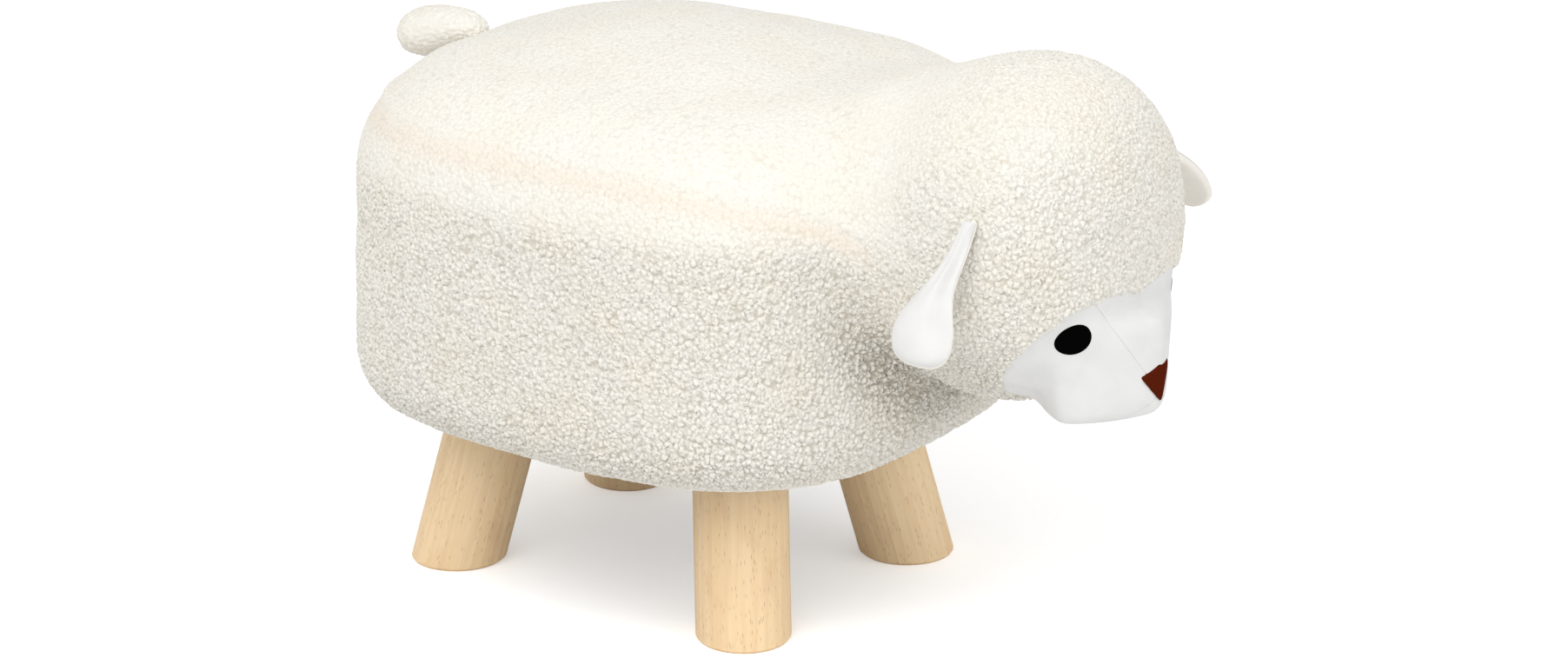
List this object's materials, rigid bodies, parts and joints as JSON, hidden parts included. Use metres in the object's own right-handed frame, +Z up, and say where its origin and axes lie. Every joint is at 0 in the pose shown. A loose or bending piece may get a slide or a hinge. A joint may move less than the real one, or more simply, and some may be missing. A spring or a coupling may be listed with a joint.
{
  "type": "animal footstool",
  "caption": "Sheep-shaped footstool with a padded boucle seat, a stuffed head with a white face, hanging ears, a small tail and splayed round wooden legs.",
  "frame": {"origin": "on the floor, under the middle of the whole stool's box", "axes": "+X is the way the sheep looks, +Y is its left side, +Z is up; the feet stand on z = 0"},
  "size_m": [0.4896, 0.296, 0.3137],
  "materials": {
    "boucle": "looped off-white boucle pile",
    "face_plush": "short smooth white plush",
    "ear_plush": "short smooth white plush",
    "nose_felt": "dark red-brown felt",
    "eye_thread": "black satin embroidery",
    "rubberwood": "pale rubberwood, clear satin lacquer",
    "plywood": "raw plywood",
    "fibreboard": "thin bent hardboard",
    "foam": "upholstery foam",
    "filling": "polyester fibre filling",
    "lining": "black non-woven dust cover",
    "zinc_steel": "zinc-plated steel"
  },
  "bodies": {
    "stool": {"leg_front_right": "rubberwood", "hanger_bolt_front_right": "zinc_steel", "tee_nut_front_right": "zinc_steel", "leg_front_left": "rubberwood", "hanger_bolt_front_left": "zinc_steel", "tee_nut_front_left": "zinc_steel", "leg_rear_right": "rubberwood", "hanger_bolt_rear_right": "zinc_steel", "tee_nut_rear_right": "zinc_steel", "leg_rear_left": "rubberwood", "hanger_bolt_rear_left": "zinc_steel", "tee_nut_rear_left": "zinc_steel", "frame_post_front": "plywood", "base_screw_front": "zinc_steel", "seat_screw_front": "zinc_steel", "frame_post_rear": "plywood", "base_screw_rear": "zinc_steel", "seat_screw_rear": "zinc_steel", "frame_post_left": "plywood", "base_screw_left": "zinc_steel", "seat_screw_left": "zinc_steel", "frame_post_right": "plywood", "base_screw_right": "zinc_steel", "seat_screw_right": "zinc_steel", "base_board": "plywood", "seat_board": "plywood", "side_band": "fibreboard", "side_foam": "foam", "seat_foam": "foam", "cover_side": "boucle", "cover_top": "boucle", "dust_cover": "lining", "head_filling": "filling", "head_cover": "boucle", "face_forehead": "face_plush", "face_cheek_left": "face_plush", "face_cheek_right": "face_plush", "face_chin": "face_plush", "eye_right": "eye_thread", "eye_left": "eye_thread", "nose": "nose_felt", "staple_1": "zinc_steel", "staple_2": "zinc_steel", "staple_3": "zinc_steel", "staple_4": "zinc_steel", "staple_5": "zinc_steel", "staple_6": "zinc_steel", "staple_7": "zinc_steel", "staple_8": "zinc_steel"},
    "ear_right": {"ear_right": "ear_plush", "ear_lining_right": "ear_plush"},
    "ear_left": {"ear_left": "ear_plush", "ear_lining_left": "ear_plush"},
    "tail": {"tail_cover": "boucle", "tail_filling": "filling"}
  },
  "joints": [
    {"name": "ear_right_hinge", "type": "hinge", "parent": "stool", "child": "ear_right", "pos_m": [0.18553, -0.08814, 0.25141], "axis": [-1, 0, 0], "range_deg": [-12, 70], "stiffness_Nm_per_rad": 0.06},
    {"name": "ear_left_hinge", "type": "hinge", "parent": "stool", "child": "ear_left", "pos_m": [0.18553, 0.08814, 0.25141], "axis": [1, 0, 0], "range_deg": [-32, 45], "stiffness_Nm_per_rad": 0.06},
    {"name": "tail_hinge", "type": "hinge", "parent": "stool", "child": "tail", "pos_m": [-0.19434, 0, 0.27485], "axis": [0, 1, 0], "range_deg": [-12, 40], "stiffness_Nm_per_rad": 0.06}
  ]
}
